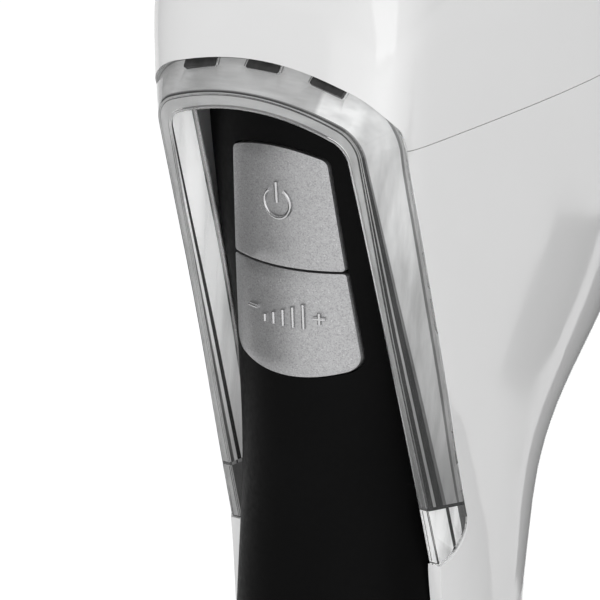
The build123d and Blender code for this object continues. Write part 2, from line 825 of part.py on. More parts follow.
commutator_low = motor_low + 41
commutator_radius = 4.6
with BuildPart() as commutator:
    with BuildSketch(Plane.XY.offset(commutator_low)):
        Circle(commutator_radius)
        Circle(shaft_radius, mode=Mode.SUBTRACT)
        with PolarLocations(commutator_radius, rotor_slots, start_angle=36):
            Rectangle(1.2, 0.5, mode=Mode.SUBTRACT)
    extrude(amount=8)
commutator.part.label = "commutator"
export_step(commutator.part, "parts/commutator.step")

brush_length = 8.8
brush_middle = commutator_radius + 0.2 + brush_length / 2
with BuildPart() as motor_brushes:
    with BuildSketch(Plane.XY.offset(commutator_low + 2)):
        with Locations((-brush_middle, 0), (brush_middle, 0)):
            Rectangle(brush_length, 3)
    extrude(amount=4)
motor_brushes.part.label = "motor_brushes"
export_step(motor_brushes.part, "parts/motor_brushes.step")

mount_low = 227.5
mount_radius = 21.5
screw_circle = 13.0        # radius of the motor screws' circle
spring_level = 222.5       # axis of the release buttons' springs
spring_start = 14.0        # inner end of those springs
spring_seat = 2.6          # thickness of the lug behind each spring
with BuildPart() as motor_mount:
    with BuildSketch(Plane.XY.offset(mount_low)):
        Circle(mount_radius)
        Circle(bearing_radius + 1.3, mode=Mode.SUBTRACT)
        with PolarLocations(screw_circle, 2, start_angle=90):
            Circle(1.6, mode=Mode.SUBTRACT)
    extrude(amount=motor_low - mount_low)
    with BuildSketch(Plane.XY.offset(motor_low)):
        Circle(19.6)
        Circle(motor_radius + 0.05, mode=Mode.SUBTRACT)
    extrude(amount=14)
    with BuildSketch(Plane.XY.offset(spring_level - 3)):
        for side in (-1, 1):
            with Locations((side * (spring_start - spring_seat / 2), 0)):
                Rectangle(spring_seat, 6)
    extrude(amount=mount_low - spring_level + 3)
motor_mount.part.label = "motor_mount"
export_step(motor_mount.part, "parts/motor_mount.step")

with BuildPart() as motor_screws:
    with BuildSketch(Plane.XY.offset(mount_low - 2)):
        with PolarLocations(screw_circle, 2, start_angle=90):
            Circle(2.7)
    extrude(amount=2)
    with BuildSketch(Plane.XY.offset(mount_low)):
        with PolarLocations(screw_circle, 2, start_angle=90):
            Circle(1.5)
    extrude(amount=motor_low - mount_low)
motor_screws.part.label = "motor_screws"
export_step(motor_screws.part, "parts/motor_screws.step")

# ---------------------------------------------------------------- coupling and release buttons
hex_socket = 4.2           # socket's inscribed radius
hex_post = 4.05            # post's inscribed radius
coupling_radius = 7.5
with BuildPart() as motor_coupling:
    with BuildSketch(Plane.XY.offset(coupling_low)):
        Circle(coupling_radius)
        RegularPolygon(hex_socket, 6, major_radius=False, mode=Mode.SUBTRACT)
    extrude(amount=coupling_floor - coupling_low)
    with BuildSketch(Plane.XY.offset(coupling_floor)):
        Circle(coupling_radius)
        Circle(shaft_radius, mode=Mode.SUBTRACT)
    extrude(amount=coupling_high - coupling_floor)
motor_coupling.part.label = "motor_coupling"
export_step(motor_coupling.part, "parts/motor_coupling.step")

collar_radius = 25.3
spigot_radius = 19.0       # top of the blending arm, inside the collar
spigot_bore = 16.0
spigot_high = 208.5
lip_bore = 15.7            # inner lip of the spigot, over the release hooks' noses
lip_low = 206.2
lip_high = 208.0
with BuildPart() as handle_collar:
    with BuildSketch(Plane.XY.offset(handle_bottom)):
        Circle(collar_radius)
        Circle(spigot_radius + 0.35, mode=Mode.SUBTRACT)
    extrude(amount=6)
    add(front_grip.part, mode=Mode.SUBTRACT)
handle_collar.part.label = "handle_collar"
export_step(handle_collar.part, "parts/handle_collar.step")

button_inside = 20.5
button_face = 29.2
hook_inside = 13.0
hook_outside = 15.0
hook_nose = 15.4
hook_low = 204.0
hook_high = 217.0
for side, name in ((1, "left"), (-1, "right")):
    with BuildPart() as release_button:
        with BuildSketch(Plane.YZ.offset(side * button_inside)):
            with Locations((0, release_level)):
                RectangleRounded(release_size[0] - 0.6, release_size[1] - 0.6, 4.7)
        extrude(amount=side * (button_face - button_inside))
        outer_face = release_button.faces().sort_by(Axis.X)[-1 if side > 0 else 0]
        fillet(outer_face.edges(), 1.2)
    release_button.part.label = f"release_button_{name}"
    export_step(release_button.part, f"parts/release_button_{name}.step")

    with BuildPart() as release_hook:
        with BuildSketch(Plane.XZ.offset(-4)):
            with BuildLine():
                Polyline(
                    (side * hook_inside, hook_low),
                    (side * hook_nose, hook_low),
                    (side * hook_nose, lip_low - 0.6),
                    (side * hook_outside, lip_low),
                    (side * hook_outside, hook_high - 4),
                    (side * button_inside, hook_high - 4),
                    (side * button_inside, hook_high),
                    (side * hook_inside, hook_high),
                    close=True,
                )
            make_face()
        extrude(amount=8)
    release_hook.part.label = f"release_hook_{name}"
    export_step(release_hook.part, f"parts/release_hook_{name}.step")

    with BuildPart() as release_spring:
        with BuildSketch(Plane.YZ.offset(side * spring_start)):
            with Locations((0, spring_level)):
                Circle(2.2)
                Circle(1.5, mode=Mode.SUBTRACT)
        extrude(amount=side * (button_inside - spring_start))
    release_spring.part.label = f"release_spring_{name}"
    export_step(release_spring.part, f"parts/release_spring_{name}.step")

# ---------------------------------------------------------------- blending arm
socket_top = handle_bottom - 0.4
socket_low = 150.0
socket_wall = 2.4
tube_wall = 0.8
tube_low = 44.0
tube_high = 172.0
bushing_radius = 8.0
blade_level = 15.0
blade_width = 8.4
blade_low = blade_level + 0.6
blade_high = blade_level + 2.2
blade_bend = 17.0          # radius at which the arms turn up or down
blade_reach = 23.0
nut_low = 10.5

with BuildPart() as arm_socket:
    with BuildSketch(Plane.XZ):
        with BuildLine():
            Polyline(
                (tube_radius + 0.05, socket_low),
                (tube_radius + 2.2, socket_low),
                (tube_radius + 2.6, socket_low + 4),
            )
            Spline(
                (tube_radius + 2.6, socket_low + 4),
                (19.5, 172),
                (25.6, 190),
                (27.3, socket_top - 2.5),
                tangents=[(0.1, 1), (0.1, 1)],
            )
            Polyline(
                (27.3, socket_top - 2.5),
                (26.8, socket_top),
                (spigot_radius, socket_top),
                (spigot_radius, spigot_high - 0.8),
                (spigot_radius - 0.8, spigot_high),
                (spigot_bore, spigot_high),
                (spigot_bore, lip_high),
                (lip_bore, lip_high - 0.4),
                (lip_bore, lip_low + 0.4),
                (spigot_bore, lip_low),
                (spigot_bore, socket_top),
                (bushing_radius, socket_top),
                (bushing_radius, socket_top - 4),
                (22.0, socket_top - 4),
                (22.0, 190),
                (tube_radius + 0.05, 173),
                (tube_radius + 0.05, socket_low),
            )
        make_face()
    revolve(axis=Axis.Z)
arm_socket.part.label = "arm_socket"
export_step(arm_socket.part, "parts/arm_socket.step")

with BuildPart() as shaft_tube:
    with BuildSketch(Plane.XY.offset(tube_low)):
        Circle(tube_radius)
        Circle(tube_radius - tube_wall, mode=Mode.SUBTRACT)
    extrude(amount=tube_high - tube_low)
shaft_tube.part.label = "shaft_tube"
export_step(shaft_tube.part, "parts/shaft_tube.step")

with BuildPart() as upper_bushing:
    with BuildSketch(Plane.XY.offset(socket_top - 6)):
        Circle(bushing_radius)
        Circle(spindle_radius + running_gap, mode=Mode.SUBTRACT)
    extrude(amount=6)
upper_bushing.part.label = "upper_bushing"
export_step(upper_bushing.part, "parts/upper_bushing.step")

bell_wall = 1.6
port_low = 5.0             # four ports in the bell's side, over its rim
port_height = 11.0
port_width = 13.0
seal_low = 36.0            # lip seal, between the bushing and the bell's chamber
seal_high = 40.0
neck_radius = tube_radius + 1.6
with BuildPart() as bell_guard:
    with BuildSketch(Plane.XZ):
        with BuildLine():
            outer_foot = (bell_radius, 5)
            outer_neck = (neck_radius, bell_height)
            Line((bell_radius, 0), outer_foot)
            Spline(outer_foot, (31.8, 17), (23.5, 31), outer_neck, tangents=[(0, 1), (-0.15, 1)])
            Polyline(
                outer_neck,
                (neck_radius, bell_height + 8),
                (tube_radius + 0.05, bell_height + 8),
                (tube_radius + 0.05, tube_low - 0.1),
                (bushing_radius + 0.05, tube_low - 0.1),
                (bushing_radius + 0.05, seal_low),
                (12.0, seal_low),
            )
            inner_foot = (bell_radius - bell_wall, 5)
            Spline((12.0, seal_low), (21.6, 29.8), (30.2, 16.6), inner_foot, tangents=[(1, -0.35), (0, -1)])
            Polyline(inner_foot, (bell_radius - bell_wall, 0), (bell_radius, 0))
        make_face()
    revolve(axis=Axis.Z)
    with BuildSketch(Plane.XY.offset(port_low)):
        with PolarLocations(31, 4):
            Rectangle(14, port_width)
    extrude(amount=port_height, mode=Mode.SUBTRACT)
bell_guard.part.label = "bell_guard"
export_step(bell_guard.part, "parts/bell_guard.step")

with BuildPart() as lower_bushing:
    with BuildSketch(Plane.XY.offset(seal_high)):
        Circle(bushing_radius)
        Circle(spindle_radius + running_gap, mode=Mode.SUBTRACT)
    extrude(amount=14)
lower_bushing.part.label = "lower_bushing"
export_step(lower_bushing.part, "parts/lower_bushing.step")

with BuildPart() as shaft_seal:
    with BuildSketch(Plane.XY.offset(seal_low)):
        Circle(bushing_radius)
        Circle(spindle_radius + running_gap, mode=Mode.SUBTRACT)
    extrude(amount=seal_high - seal_low)
shaft_seal.part.label = "shaft_seal"
export_step(shaft_seal.part, "parts/shaft_seal.step")

spindle_low = 10.0
spindle_high = 206.0
with BuildPart() as drive_spindle:
    with BuildSketch(Plane.XY.offset(spindle_low)):
        Circle(spindle_radius)
    extrude(amount=spindle_high - spindle_low)
drive_spindle.part.label = "drive_spindle"
export_step(drive_spindle.part, "parts/drive_spindle.step")

with BuildPart() as spindle_coupler:
    with BuildSketch(Plane.XY.offset(socket_top + 1)):
        RegularPolygon(hex_post, 6, major_radius=False)
        Circle(spindle_radius, mode=Mode.SUBTRACT)
    extrude(amount=spindle_high - socket_top - 1)
    with BuildSketch(Plane.XY.offset(spindle_high)):
        RegularPolygon(hex_post, 6, major_radius=False)
    extrude(amount=3.4)
spindle_coupler.part.label = "spindle_coupler"
export_step(spindle_coupler.part, "parts/spindle_coupler.step")

with BuildPart() as blade:
    with BuildSketch(Plane.XY.offset(blade_level)):
        Circle(6.5)
        Circle(spindle_radius, mode=Mode.SUBTRACT)
    extrude(amount=3)
    for turn, rise in ((0, 7), (90, -4), (180, 7), (270, -4)):
        with BuildSketch(Plane.XZ.rotated((0, 0, turn)).offset(-blade_width / 2)):
            with BuildLine():
                Polyline(
                    (5.5, blade_low),
                    (blade_bend, blade_low),
                    (blade_reach, blade_low + rise),
                    (blade_reach, blade_high + rise),
                    (blade_bend - 0.4, blade_high),
                    (5.5, blade_high),
                    close=True,
                )
            make_face()
        extrude(amount=blade_width)
blade.part.label = "blade"
export_step(blade.part, "parts/blade.step")

with BuildPart() as blade_nut:
    with BuildSketch(Plane.XY.offset(nut_low)):
        RegularPolygon(5.0, 6, major_radius=False)
        Circle(spindle_radius, mode=Mode.SUBTRACT)
    extrude(amount=blade_level - nut_low)
blade_nut.part.label = "blade_nut"
export_step(blade_nut.part, "parts/blade_nut.step")
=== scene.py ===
"""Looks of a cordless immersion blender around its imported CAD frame: metres, +Z up, keys on -Y."""
import json
from math import cos, pi, radians, sin

import bmesh
import bpy
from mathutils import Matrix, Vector
from mathutils.bvhtree import BVHTree


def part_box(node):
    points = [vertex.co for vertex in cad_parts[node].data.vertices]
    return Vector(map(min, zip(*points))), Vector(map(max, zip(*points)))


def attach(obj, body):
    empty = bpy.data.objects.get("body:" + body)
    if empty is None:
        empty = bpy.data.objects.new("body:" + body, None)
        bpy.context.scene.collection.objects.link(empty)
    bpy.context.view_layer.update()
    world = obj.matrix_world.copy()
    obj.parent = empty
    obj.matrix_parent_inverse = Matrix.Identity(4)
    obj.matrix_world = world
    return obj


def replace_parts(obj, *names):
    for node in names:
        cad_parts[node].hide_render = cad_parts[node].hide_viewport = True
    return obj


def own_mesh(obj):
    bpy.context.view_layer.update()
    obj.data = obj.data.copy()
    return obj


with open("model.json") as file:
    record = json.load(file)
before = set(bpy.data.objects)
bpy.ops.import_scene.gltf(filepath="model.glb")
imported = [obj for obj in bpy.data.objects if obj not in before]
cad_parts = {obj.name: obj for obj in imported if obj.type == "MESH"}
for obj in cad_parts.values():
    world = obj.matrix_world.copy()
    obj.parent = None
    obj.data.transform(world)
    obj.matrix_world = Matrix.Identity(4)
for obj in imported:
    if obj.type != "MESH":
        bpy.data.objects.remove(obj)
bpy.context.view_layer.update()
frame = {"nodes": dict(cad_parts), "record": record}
MM = 0.001

# ------------------------------------------------ places, read from the frame
KEY_LINE = (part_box("power_key")[0].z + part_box("select_key")[1].z) / 2     # gap between the keys
GRIP_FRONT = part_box("front_grip")[0].y
FRAME_LOW, FRAME_HIGH = (corner.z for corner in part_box("light_frame"))
FRAME_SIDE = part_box("light_frame")[1].x
NODE_BODY = {
    node: body
    for body, nodes in frame["record"]["behaviour"]["bodies"].items()
    for node in nodes
}
NODE_SLOT = {entry["node"]: entry["material_slot"] for entry in frame["record"]["subparts"]}


# ------------------------------------------------ materials
def scaled(shade, factor):
    """A colour made lighter or darker, at most white."""
    return tuple(min(c * factor, 1.0) for c in shade)


class Nodes:
    """A material's node tree, with short calls to add nodes and links."""

    def __init__(self, name):
        self.material = bpy.data.materials.new(name)
        self.material.use_nodes = True
        self.tree = self.material.node_tree
        self.shader = self.tree.nodes["Principled BSDF"]
        self.place = self.tree.nodes.new("ShaderNodeTexCoord").outputs["Object"]

    def noise(self, scale, detail=4.0, rough=0.5, place=None):
        node = self.tree.nodes.new("ShaderNodeTexNoise")
        node.inputs["Scale"].default_value = scale
        node.inputs["Detail"].default_value = detail
        node.inputs["Roughness"].default_value = rough
        self.tree.links.new(place or self.place, node.inputs["Vector"])
        return node.outputs["Fac"]

    def cells(self, scale, output="Distance"):
        node = self.tree.nodes.new("ShaderNodeTexVoronoi")
        node.inputs["Scale"].default_value = scale
        self.tree.links.new(self.place, node.inputs["Vector"])
        return node.outputs[output]

    def stretched(self, x, y, z):
        node = self.tree.nodes.new("ShaderNodeMapping")
        node.inputs["Scale"].default_value = (x, y, z)
        self.tree.links.new(self.place, node.inputs["Vector"])
        return node.outputs["Vector"]

    def ramp(self, value, stops):
        """Maps a value to greys or colours through (position, colour) stops."""
        node = self.tree.nodes.new("ShaderNodeValToRGB")
        elements = node.color_ramp.elements
        while len(elements) < len(stops):
            elements.new(0.5)
        for element, (position, colour) in zip(elements, stops):
            element.position = position
            shade = colour if isinstance(colour, tuple) else (colour, colour, colour)
            element.color = (*shade, 1.0)
        self.tree.links.new(value, node.inputs["Fac"])
        return node.outputs["Color"]

    def axis(self, name):
        """One coordinate of the surface's place."""
        node = self.tree.nodes.new("ShaderNodeSeparateXYZ")
        self.tree.links.new(self.place, node.inputs["Vector"])
        return node.outputs[name]

    def math(self, operation, first, second):
        node = self.tree.nodes.new("ShaderNodeMath")
        node.operation = operation
        for socket, value in zip(node.inputs, (first, second)):
            if isinstance(value, (int, float)):
                socket.default_value = value
            else:
                self.tree.links.new(value, socket)
        return node.outputs["Value"]

    def mixed(self, blend, factor, first, second):
        """Mixes two values or colours; each is a socket, or a number or colour to set."""
        node = self.tree.nodes.new("ShaderNodeMix")
        node.data_type = "RGBA"
        node.blend_type = blend
        for socket, value in (("Factor", factor), ("A", first), ("B", second)):
            if isinstance(value, (float, tuple)):
                node.inputs[socket].default_value = value
            else:
                self.tree.links.new(value, node.inputs[socket])
        return node.outputs["Result"]

    def bump(self, height, strength, distance, normal=None):
        node = self.tree.nodes.new("ShaderNodeBump")
        node.inputs["Strength"].default_value = strength
        node.inputs["Distance"].default_value = distance
        self.tree.links.new(height, node.inputs["Height"])
        if normal is not None:
            self.tree.links.new(normal, node.inputs["Normal"])
        return node.outputs["Normal"]

    def wire(self, **sockets):
        """Links or sets the shader's sockets; a name's underscores stand for spaces."""
        for name, value in sockets.items():
            socket = self.shader.inputs[name.replace("_", " ")]
            if isinstance(value, (int, float, tuple)):
                socket.default_value = value
            else:
                self.tree.links.new(value, socket)
        return self.material


def gloss_shell(name, shade):
    """High gloss moulded plastic with faint waviness and fine handling marks."""
    n = Nodes(name)
    broad = n.noise(38, 3)
    colour = n.ramp(broad, [(0.3, scaled(shade, 0.985)), (0.7, shade)])
    rough = n.ramp(n.noise(240, 5), [(0.3, 0.07), (0.75, 0.12)])
    normal = n.bump(n.noise(2600, 3), 0.05, 0.00002, n.bump(broad, 0.12, 0.0002))
    return n.wire(Base_Color=colour, Roughness=rough, Normal=normal, IOR=1.5, Coat_Weight=0.25,
                  Coat_Roughness=0.04)


def soft_touch(name, shade):
    """Matt soft-touch rubber coat with a fine pebbled skin."""
    n = Nodes(name)
    colour = n.ramp(n.noise(55, 4), [(0.3, scaled(shade, 0.85)), (0.75, scaled(shade, 1.15))])
    rough = n.ramp(n.noise(900, 4), [(0.3, 0.5), (0.8, 0.62)])
    normal = n.bump(n.cells(5200), 0.18, 0.00003)
    return n.wire(Base_Color=colour, Roughness=rough, Normal=normal, Specular_IOR_Level=0.05)


def metal_lacquer(name, shade):
    """Silver lacquer with visible metallic flakes and orange peel."""
    n = Nodes(name)
    split = n.tree.nodes.new("ShaderNodeSeparateColor")
    n.tree.links.new(n.cells(5200, "Color"), split.inputs["Color"])
    flake = split.outputs["Red"]
    dark, bright = scaled(shade, 0.72), scaled(shade, 1.3)
    colour = n.ramp(flake, [(0.0, dark), (0.5, shade), (0.93, shade), (1.0, bright)])
    rough = n.ramp(n.noise(3200, 3), [(0.3, 0.36), (0.75, 0.5)])
    normal = n.bump(flake, 0.16, 0.00003, n.bump(n.noise(420, 3), 0.12, 0.00006))
    return n.wire(Base_Color=colour, Roughness=rough, Normal=normal, Metallic=0.88,
                  Coat_Weight=0.12, Coat_Roughness=0.25)


def clear_acrylic(name):
    """Polished clear acrylic with faint moulding waves."""
    n = Nodes(name)
    normal = n.bump(n.noise(70, 2), 0.1, 0.0002)
    rough = n.ramp(n.noise(400, 4), [(0.35, 0.015), (0.8, 0.05)])
    colour = n.ramp(n.noise(25, 2), [(0.3, (0.93, 0.94, 0.94)), (0.7, (0.985, 0.985, 0.985))])
    return n.wire(Base_Color=colour, Roughness=rough, Normal=normal, IOR=1.35,
                  Transmission_Weight=0.97)


def moulded(name, shade, low_rough=0.4, high_rough=0.55, metallic=0.0):
    """Plain moulded plastic with a fine spark-eroded texture."""
    n = Nodes(name)
    grain = n.noise(3000, 5)
    colour = n.ramp(n.noise(60, 4), [(0.3, scaled(shade, 0.9)), (0.75, scaled(shade, 1.08))])
    rough = n.ramp(grain, [(0.3, low_rough), (0.75, high_rough)])
    normal = n.bump(grain, 0.2, 0.00004)
    return n.wire(Base_Color=colour, Roughness=rough, Normal=normal, Metallic=metallic)


ALONG = (1, 1, 0.02)       # brushed lengthwise
AROUND = (0.02, 0.02, 1)   # turned


def brushed(name, shade, brushing, rough_range=(0.2, 0.38)):
    """Brushed or turned steel: streaks along the brushing, with fine scratches."""
    n = Nodes(name)
    place = n.stretched(*brushing)
    streaks = n.noise(900, 6, 0.6, place)
    fine = n.noise(3600, 3, 0.5, place)
    colour = n.ramp(streaks, [(0.25, scaled(shade, 0.86)), (0.75, shade)])
    rough = n.ramp(fine, [(0.25, rough_range[0]), (0.8, rough_range[1])])
    normal = n.bump(streaks, 0.22, 0.00004)
    return n.wire(Base_Color=colour, Roughness=rough, Normal=normal, Metallic=1.0)


def circuit_board(name):
    """Green solder mask over tracks that show as slightly raised lighter lines."""
    n = Nodes(name)
    brick = n.tree.nodes.new("ShaderNodeTexBrick")
    brick.inputs["Scale"].default_value = 260
    brick.inputs["Mortar Size"].default_value = 0.09
    n.tree.links.new(n.place, brick.inputs["Vector"])
    colour = n.ramp(brick.outputs["Fac"], [(0.0, (0.01, 0.09, 0.035)), (1.0, (0.03, 0.2, 0.08))])
    return n.wire(Base_Color=colour, Roughness=n.ramp(n.noise(500), [(0.3, 0.25), (0.8, 0.42)]),
                  Normal=n.bump(brick.outputs["Fac"], 0.3, 0.00004))


def smoked(name):
    """Dark tinted window with a glossy face."""
    n = Nodes(name)
    colour = n.ramp(n.noise(500, 3), [(0.3, 0.02), (0.8, 0.05)])
    return n.wire(Base_Color=colour, Roughness=n.ramp(n.noise(900), [(0.3, 0.08), (0.8, 0.16)]),
                  Normal=n.bump(n.noise(120), 0.1, 0.0001))


def streaked(name, low, high, painted_glow, feet=(1.0, 1.0), across=None):
    """Satin strip inside the acrylic, painted with soft streaks of reflection down the legs and
    along the crown.

    feet is the painted shade at the ends of the legs at -X and +X, against the top, and across a
    list of (place from the frame's -X side to its +X side, brightness) of painted light and shade.
    The strip glows as painted light.
    """
    n = Nodes(name)
    height = n.math("DIVIDE", n.math("SUBTRACT", n.axis("Z"), FRAME_LOW), FRAME_HIGH - FRAME_LOW)
    side = n.math("ADD", n.math("DIVIDE", n.axis("X"), 2 * FRAME_SIDE), 0.5)
    down = n.noise(330, 4, 0.55, n.stretched(1, 1, 0.1))
    along = n.noise(330, 4, 0.55, n.stretched(0.1, 1, 1))
    streak = n.mixed("MIX", n.ramp(height, [(0.82, 0.0), (0.93, 1.0)]), down, along)
    colour = n.ramp(streak, [(0.3, low), (0.7, high)])
    # painted shade: the legs get darker towards their ends, by a separate amount on each side
    foot = n.ramp(side, [(0.3, feet[0]), (0.7, feet[1])])
    leg_end_shade = n.mixed("MIX", n.ramp(height, [(0.1, 0.0), (0.72, 1.0)]), foot, (1.0, 1.0, 1.0, 1.0))
    colour = n.mixed("MULTIPLY", 1.0, colour, leg_end_shade)
    # painted light and shade across the frame
    if across:
        colour = n.mixed("MULTIPLY", 1.0, colour, n.ramp(side, across))
    # the emission is painted light, standing in for the light that the acrylic keeps from the strip
    return n.wire(Base_Color=colour, Roughness=n.ramp(n.noise(700), [(0.3, 0.3), (0.8, 0.45)]),
                  Normal=n.bump(streak, 0.3, 0.00008),
                  Emission_Color=colour, Emission_Strength=painted_glow)


# Painted light and shade on the frame's side band from -X to +X: painted shade at the first corner,
# a soft painted highlight at the second.
CROWN_LIGHT_AND_SHADE = [(0.0, 0.42), (0.1, 0.4), (0.17, 0.6), (0.23, 0.5), (0.5, 0.6), (0.735, 0.6),
              (0.75, 1.0), (0.87, 0.98), (0.9, 0.72), (1.0, 0.76)]

MATERIALS = {
    "white_shell": gloss_shell("white_shell", (0.80, 0.80, 0.80)),
    "clear_acrylic": clear_acrylic("clear_acrylic"),
    "reflector_white": gloss_shell("reflector_white", (0.6, 0.6, 0.6)),
    "smoked_window": smoked("smoked_window"),
    # strips painted with the light and shade seen in the clear frame, glowing as painted light
    "strip_white": streaked("strip_white", 0.7, 0.97, 0.5, feet=(0.5, 0.72)),
    "strip_bright": streaked("strip_bright", 0.5, 0.82, 0.58, feet=(0.6, 0.45), across=CROWN_LIGHT_AND_SHADE),
    "strip_lip": streaked("strip_lip", 0.42, 0.62, 0.16, feet=(0.85, 0.13)),
    "strip_pale": streaked("strip_pale", 0.36, 0.6, 0.16, feet=(0.6, 0.7)),
    "strip_grey": streaked("strip_grey", 0.16, 0.32, 0.1, feet=(0.8, 0.6)),
    "strip_dark": streaked("strip_dark", 0.012, 0.06, 0.0),
    "strip_dotted": streaked("strip_dotted", 0.05, 0.8, 0.1),
    "strip_tip": streaked("strip_tip", 0.55, 0.97, 0.4, feet=(0.35, 1.0)),
    "key_sign": moulded("key_sign", (0.5, 0.5, 0.505), 0.16, 0.24, 0.9),
    "soft_black": soft_touch("soft_black", (0.0025, 0.0025, 0.0026)),
    "silver_key": metal_lacquer("silver_key", (0.41, 0.41, 0.415)),
    "black_plastic": moulded("black_plastic", (0.018, 0.018, 0.019)),
    "grey_plastic": moulded("grey_plastic", (0.3, 0.3, 0.31)),
    "circuit_board": circuit_board("circuit_board"),
    "led": moulded("led", (0.85, 0.83, 0.66), 0.12, 0.25),
    "cell_wrap": gloss_shell("cell_wrap", (0.05, 0.2, 0.42)),
    "bright_steel": brushed("bright_steel", (0.62, 0.62, 0.63), AROUND),
    "brushed_stainless": brushed("brushed_stainless", (0.6, 0.6, 0.6), ALONG),
    "motor_steel": brushed("motor_steel", (0.42, 0.42, 0.44), AROUND, (0.3, 0.5)),
    "ferrite": moulded("ferrite", (0.06, 0.06, 0.062), 0.6, 0.8),
    "copper": brushed("copper", (0.72, 0.36, 0.2), AROUND, (0.22, 0.4)),
    "carbon": moulded("carbon", (0.03, 0.03, 0.03), 0.55, 0.75),
    "bushing": moulded("bushing", (0.72, 0.7, 0.64), 0.3, 0.45),
    "coupler": moulded("coupler", (0.2, 0.2, 0.21)),
    "seal": soft_touch("seal", (0.02, 0.02, 0.02)),
}


def paint(piece, slot):
    piece.data.materials.clear()
    piece.data.materials.append(MATERIALS[slot])


for node, piece in frame["nodes"].items():
    paint(piece, NODE_SLOT[node])


# ------------------------------------------------ pieces refined from their CAD nodes
def place_piece(name, mesh, node, slot=None, material=None):
    """Links a mesh as a piece that rides with the node's body and takes its slot."""
    piece = bpy.data.objects.new(name, mesh)
    bpy.context.scene.collection.objects.link(piece)
    slot = slot or NODE_SLOT[node]
    paint(piece, material or slot)
    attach(piece, NODE_BODY[node])
    return piece


def smooth(mesh):
    for polygon in mesh.polygons:
        polygon.use_smooth = True


def copied(node):
    """A cleaned copy of a CAD node's mesh."""
    bm = bmesh.new()
    bm.from_mesh(frame["nodes"][node].data)
    bmesh.ops.remove_doubles(bm, verts=bm.verts, dist=0.000004)
    return bm


def finish_mesh(bm, name):
    mesh = bpy.data.meshes.new(name)
    bm.normal_update()
    bm.to_mesh(mesh)
    bm.free()
    smooth(mesh)
    return mesh


# ------------------------------------------------ clear frame
def frame_normal():
    """Normal of the frame's front face: its largest flat direction on the keys' side."""
    totals = {}
    for polygon in frame["nodes"]["light_frame"].data.polygons:
        key = tuple(round(c, 2) for c in polygon.normal)
        totals[key] = totals.get(key, 0) + polygon.area
    facing = [(area, key) for key, area in totals.items() if key[1] < -0.8]
    return Vector(max(facing)[1]).normalized()


FRONT = frame_normal()
FRAME_DEPTHS = [v.co.dot(FRONT) for v in frame["nodes"]["light_frame"].data.vertices]
FRAME_BACK, FRAME_FRONT = min(FRAME_DEPTHS), max(FRAME_DEPTHS)
FRAME_HEART = Vector((0, GRIP_FRONT, KEY_LINE - 30 * MM))    # a point well inside the arch
TIP_JOINT = FRAME_LOW + 12.2 * MM          # the legs' tips are separate cells below this height
JOINT_WIDTH = 0.7 * MM
CROWN_LOW = FRAME_HIGH - 12 * MM
UNDER = 0.45 * MM                          # depth of the strips below the surface


def frame_point(share, height):
    """Point on the middle plane, at a share of the way from the frame's back to its front."""
    level = FRAME_BACK + (FRAME_FRONT - FRAME_BACK) * share
    return Vector((0, (level - height * FRONT.z) / FRONT.y, height))


def lengthwise_plane(share_high, share_low):
    """Plane along the frame, at one share of its depth at the top and another at the legs' ends."""
    high, low = frame_point(share_high, FRAME_HIGH), frame_point(share_low, FRAME_LOW)
    normal = Vector((1, 0, 0)).cross(high - low).normalized()
    if normal.dot(FRONT) < 0:
        normal.negate()
    return high, normal


def wall_of(face):
    """Which wall of the frame a face is on: front, back, outer or inner."""
    if abs(face.normal.dot(FRONT)) > 0.9:
        return "front" if face.normal.dot(FRONT) > 0 else "back"
    centre = face.calc_center_median()
    from_heart = centre - FRAME_HEART
    if centre.z < FRAME_HEART.z:
        from_heart.z = 0
    sideways = face.normal - FRONT * face.normal.dot(FRONT)
    return "outer" if sideways.dot(from_heart) > 0 else "inner"


def frame_strip(name, wall, back_edge, front_edge, heights, material):
    """A strip of painted light and shade just under one wall of the clear frame, between two planes
    and two heights.
    """
    bm = copied("light_frame")
    bm.normal_update()
    walls = {face.index: wall_of(face) for face in bm.faces}
    other = [face for face in bm.faces if walls[face.index] != wall]
    bmesh.ops.delete(bm, geom=other, context="FACES")
    back, front = lengthwise_plane(*back_edge), lengthwise_plane(*front_edge)
    low = (Vector((0, 0, heights[0])), Vector((0, 0, 1)))
    high = (Vector((0, 0, heights[1])), Vector((0, 0, 1)))
    for (point, normal), above in ((back, False), (front, True), (low, False), (high, True)):
        bmesh.ops.bisect_plane(bm, geom=bm.verts[:] + bm.edges[:] + bm.faces[:], dist=0.000001,
                               plane_co=point, plane_no=normal,
                               clear_outer=above, clear_inner=not above)
    bm.normal_update()
    for vertex in bm.verts:
        vertex.co -= vertex.normal * UNDER
    place_piece(name, finish_mesh(bm, name), "light_frame", "reflector_white", material)


# Heights that a strip covers.
ARCH = (TIP_JOINT, FRAME_HIGH + MM)
TIPS = (FRAME_LOW - MM, TIP_JOINT - JOINT_WIDTH)
JOINT = (TIP_JOINT - JOINT_WIDTH, TIP_JOINT)
CROWN = (CROWN_LOW, FRAME_HIGH + MM)
LEGS = (TIP_JOINT, CROWN_LOW)

